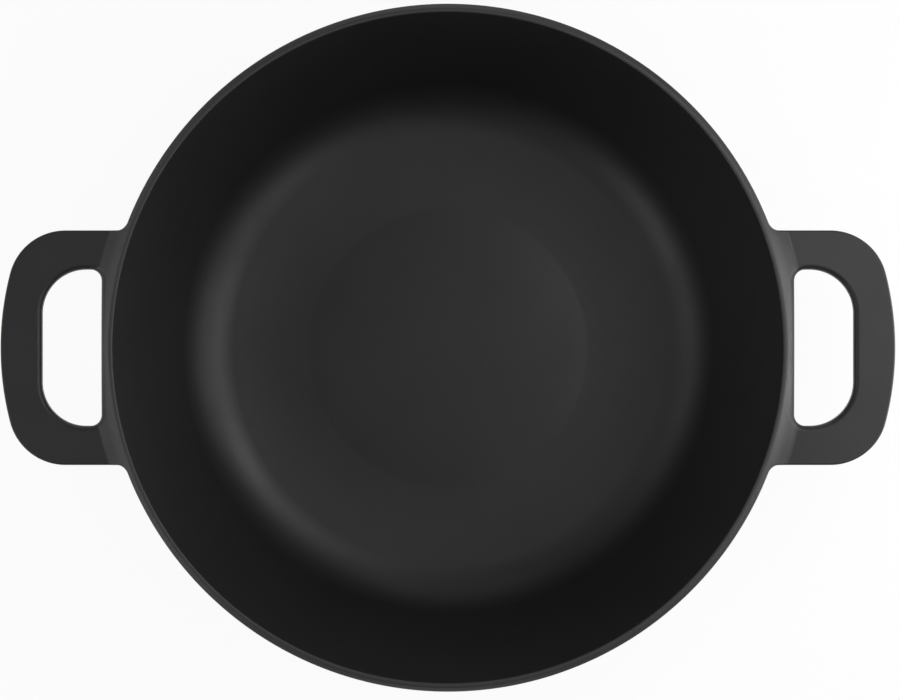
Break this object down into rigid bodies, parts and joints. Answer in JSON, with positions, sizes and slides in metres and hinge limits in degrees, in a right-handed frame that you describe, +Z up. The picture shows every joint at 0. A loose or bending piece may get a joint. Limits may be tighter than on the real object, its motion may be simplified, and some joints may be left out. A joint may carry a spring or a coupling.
{
  "type": "grill wok",
  "caption": "Round cast-iron wok with a flat, coved floor, a flared wall and a closed loop handle on each side, for frying over a grill or hob.",
  "frame": {"origin": "centre of the foot ring's underside, on the surface that the wok stands on", "axes": "+X through the right handle, +Y along the rim's other diameter, +Z up through the bowl's mouth"},
  "size_m": [0.469, 0.36, 0.1],
  "materials": {
    "bowl_iron": "matte black, fine sand-cast grain under a baked coat",
    "handle_iron": "matte black, fine sand-cast grain, slightly polished by handling"
  },
  "bodies": {
    "root": {"bowl": "bowl_iron", "left_handle": "handle_iron", "right_handle": "handle_iron"}
  },
  "joints": []
}
